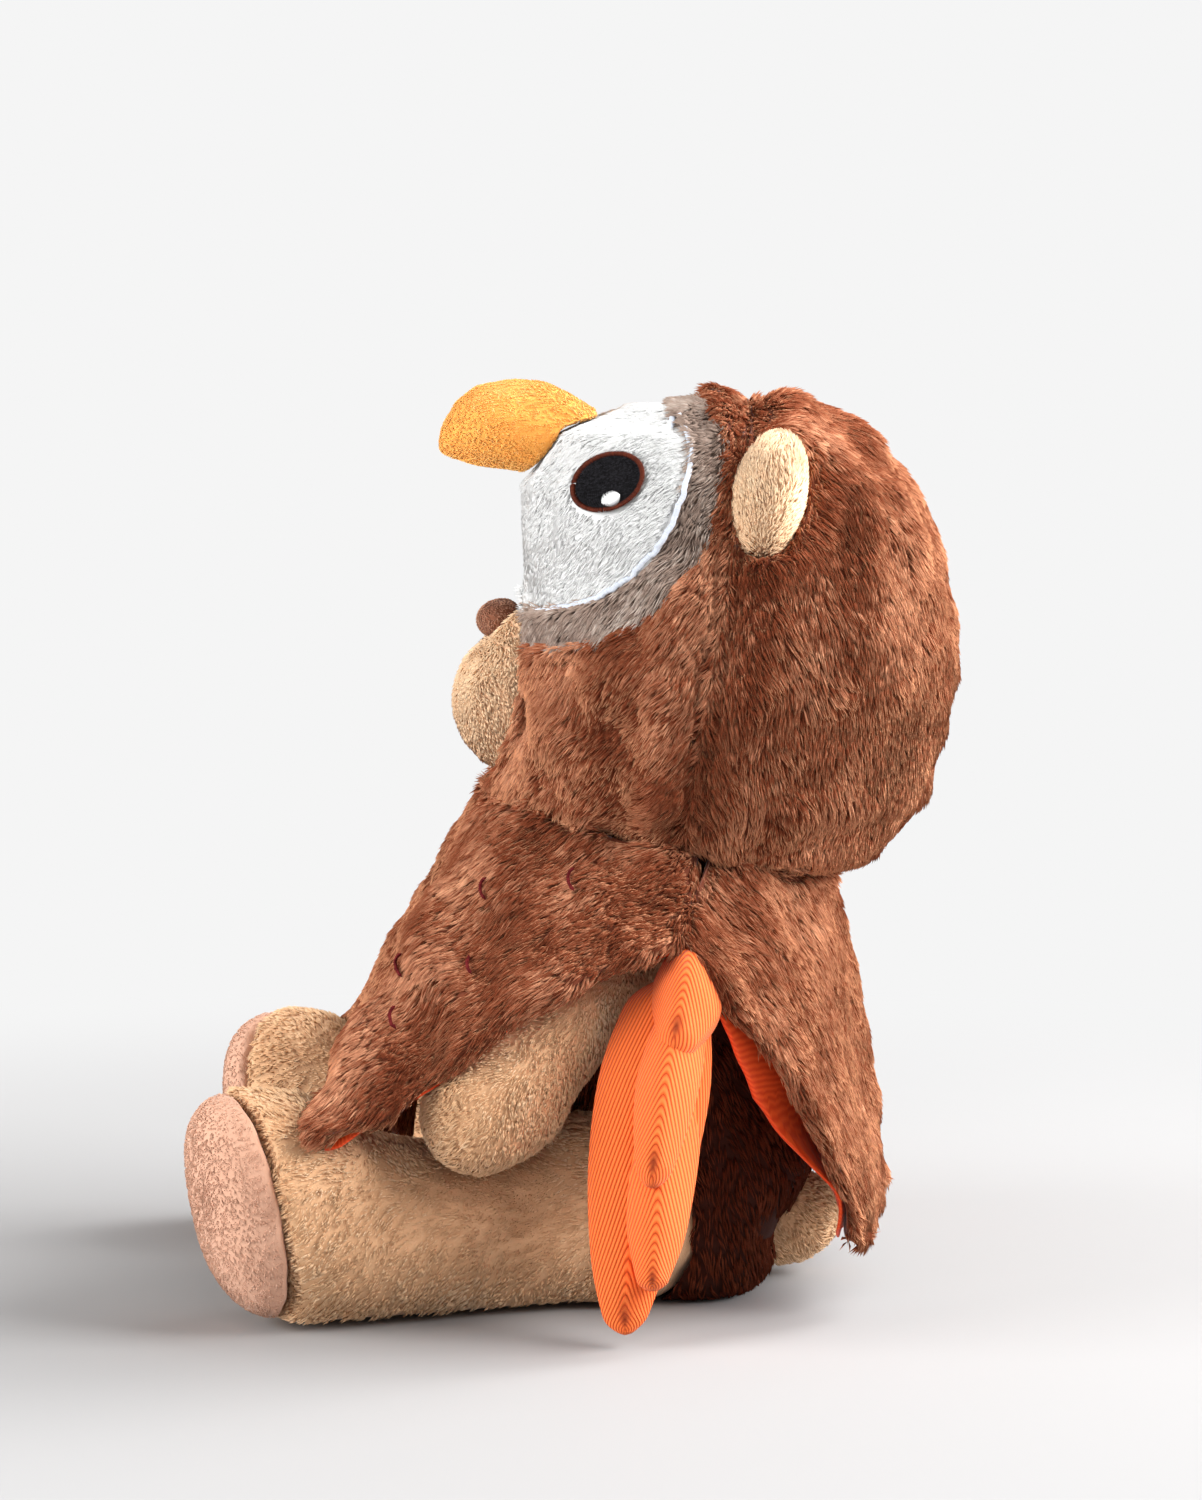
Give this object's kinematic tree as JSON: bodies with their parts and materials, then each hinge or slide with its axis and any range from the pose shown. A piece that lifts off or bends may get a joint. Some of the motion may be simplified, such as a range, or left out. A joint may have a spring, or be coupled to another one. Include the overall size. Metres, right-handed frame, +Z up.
{
  "type": "teddy bear",
  "caption": "Seated plush teddy bear in an eagle costume: hood with a padded beak, lined poncho and corduroy wings, with limbs, head and wings that flex on sewn joints",
  "frame": {"origin": "centre of the bounding box's base, on the surface that the bear sits on", "axes": "+Z up, the bear faces -Y, its left side is +X"},
  "size_m": [0.2298, 0.2204, 0.2604],
  "materials": {
    "beige_plush": "short beige pile fabric",
    "brown_plush": "combed brown pile fabric",
    "suit_plush": "dark brown pile fabric",
    "white_plush": "white pile fabric",
    "grey_plush": "grey pile fabric",
    "beak_plush": "yellow-orange short pile fabric",
    "orange_corduroy": "fine ribbed corduroy",
    "orange_lining": "smooth woven lining",
    "sole_velour": "pink-beige velour",
    "nose_velour": "brown velour",
    "black_thread": "satin stitch embroidery",
    "bead_black": "glossy bead"
  },
  "bodies": {
    "torso": {"body": "beige_plush", "bodysuit": "suit_plush", "tail": "beige_plush", "cape_front": "brown_plush", "cape_front_lining": "orange_lining", "cape_back": "brown_plush", "cape_back_lining": "orange_lining"},
    "head": {"head": "beige_plush", "muzzle": "beige_plush", "nose": "nose_velour", "hood_back": "brown_plush", "hood_front": "brown_plush", "hood_lining": "orange_lining", "face_band": "grey_plush", "face_patch": "white_plush", "beak": "beak_plush", "ear_left": "beige_plush", "ear_right": "beige_plush", "bead_eye_left": "bead_black", "bead_eye_right": "bead_black", "mask_eye_left": "black_thread", "mask_eye_right": "black_thread"},
    "arm_left": {"arm_left": "beige_plush"},
    "leg_left": {"leg_left": "beige_plush", "foot_pad_left": "sole_velour"},
    "wing_left": {"wing_left": "orange_corduroy"},
    "arm_right": {"arm_right": "beige_plush"},
    "leg_right": {"leg_right": "beige_plush", "foot_pad_right": "sole_velour"},
    "wing_right": {"wing_right": "orange_corduroy"}
  },
  "joints": [
    {"name": "head_turn", "type": "hinge", "parent": "torso", "child": "head", "pos_m": [0, 0.036, 0.1285], "axis": [0, 0.2283, 0.9736], "range_deg": [-20, 20]},
    {"name": "arm_lift_left", "type": "hinge", "parent": "torso", "child": "arm_left", "pos_m": [0.0485, 0.016, 0.1045], "axis": [-1, 0, 0], "range_deg": [0, 40], "deforming": ["cape_front", "cape_front_lining"]},
    {"name": "leg_spread_left", "type": "hinge", "parent": "torso", "child": "leg_left", "pos_m": [0.036, 0.01, 0.0255], "axis": [0, 0, 1], "range_deg": [-8, 5], "deforming": ["cape_front", "cape_front_lining"]},
    {"name": "wing_flap_left", "type": "hinge", "parent": "torso", "child": "wing_left", "pos_m": [0.07318, 0.025, 0.09974], "axis": [0, -1, 0], "range_deg": [0, 30]},
    {"name": "arm_lift_right", "type": "hinge", "parent": "torso", "child": "arm_right", "pos_m": [-0.0485, 0.016, 0.1045], "axis": [-1, 0, 0], "range_deg": [0, 40], "deforming": ["cape_front", "cape_front_lining"]},
    {"name": "leg_spread_right", "type": "hinge", "parent": "torso", "child": "leg_right", "pos_m": [-0.036, 0.01, 0.0255], "axis": [0, 0, -1], "range_deg": [-8, 5], "deforming": ["cape_front", "cape_front_lining"]},
    {"name": "wing_flap_right", "type": "hinge", "parent": "torso", "child": "wing_right", "pos_m": [-0.07318, 0.025, 0.09974], "axis": [0, 1, 0], "range_deg": [0, 30]}
  ]
}
